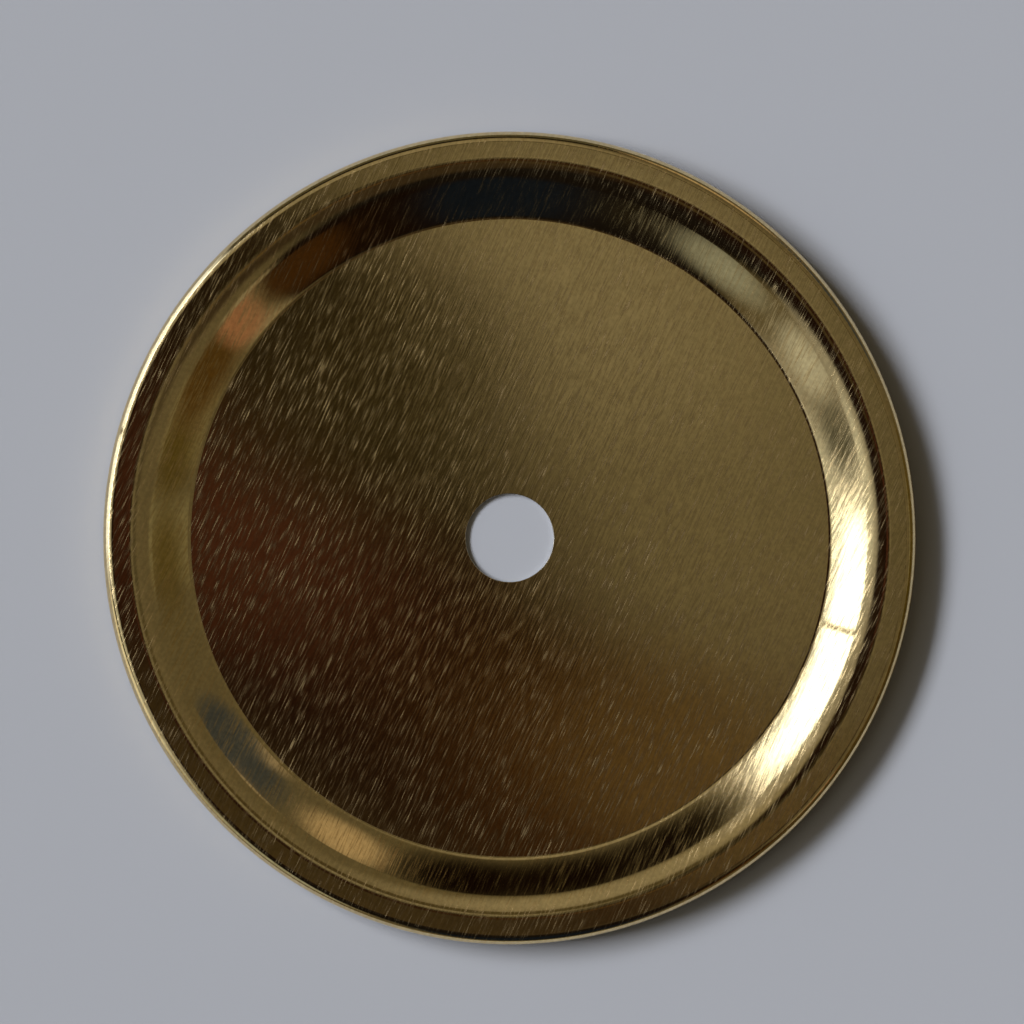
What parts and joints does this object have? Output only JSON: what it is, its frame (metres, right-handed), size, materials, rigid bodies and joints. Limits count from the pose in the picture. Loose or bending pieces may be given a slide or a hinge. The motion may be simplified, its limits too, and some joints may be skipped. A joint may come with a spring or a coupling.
{
  "type": "mason jar lid",
  "caption": "Round pressed sheet-metal jar lid disc with a recessed flat panel, sloped wall, rounded turned-down rim and a central straw hole, gold finish.",
  "frame": {"origin": "on the lid's axis, at the centre of the straw hole, in the plane of the panel's underside, which is the face the lid rests on when it lies on a table", "axes": "+Z is the lid's axis and points up, out of the jar; X and Y lie in the plane of the disc, which looks the same from every side"},
  "size_m": [0.07, 0.07, 0.0023],
  "materials": {
    "gold_lacquered_tinplate": "bright rolled tinplate under a clear gold lacquer, with fine straight rub marks in one direction"
  },
  "bodies": {
    "root": {"lid_disc": "gold_lacquered_tinplate"}
  },
  "joints": []
}
